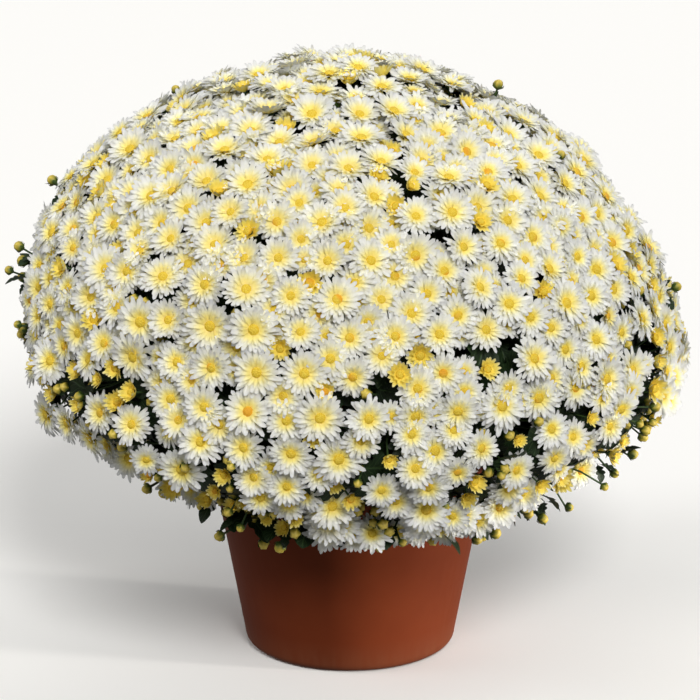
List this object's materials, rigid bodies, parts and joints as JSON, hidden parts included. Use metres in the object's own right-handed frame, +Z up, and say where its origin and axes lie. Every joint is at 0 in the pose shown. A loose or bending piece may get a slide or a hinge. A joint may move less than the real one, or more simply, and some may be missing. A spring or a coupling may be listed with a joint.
{
  "type": "potted garden chrysanthemum",
  "caption": "Cushion-shaped garden chrysanthemum in full bloom, a dome of white daisy-like flowers with yellow centres over dark leaves, in a plain tapering terracotta-coloured pot.",
  "frame": {"origin": "middle of the pot's underside, on the surface that the pot stands on", "axes": "+Z up along the pot's axis; -Y towards the side that the picture shows; +X to the right of that view"},
  "size_m": [0.5894, 0.5876, 0.5366],
  "materials": {
    "pot": "smooth moulded plastic in a terracotta colour, satin to matte",
    "soil": "damp dark potting mix of peat and bark crumbs",
    "foliage": "dark green lobed leaves and green stems with a low sheen",
    "blooms": "soft white petals, cream at the base, round a matt yellow centre of florets"
  },
  "bodies": {
    "root": {"pot": "pot", "soil": "soil", "stem_middle": "foliage", "leafy_stem_1": "foliage", "leafy_stem_2": "foliage", "leafy_stem_3": "foliage", "leafy_stem_4": "foliage", "leafy_stem_5": "foliage", "leafy_stem_6": "foliage", "spray_crown": "blooms", "spray_upper_1": "blooms", "spray_upper_2": "blooms", "spray_upper_3": "blooms", "spray_upper_4": "blooms", "spray_upper_5": "blooms", "spray_upper_6": "blooms", "spray_lower_1": "blooms", "spray_lower_2": "blooms", "spray_lower_3": "blooms", "spray_lower_4": "blooms", "spray_lower_5": "blooms", "spray_lower_6": "blooms"}
  },
  "joints": []
}
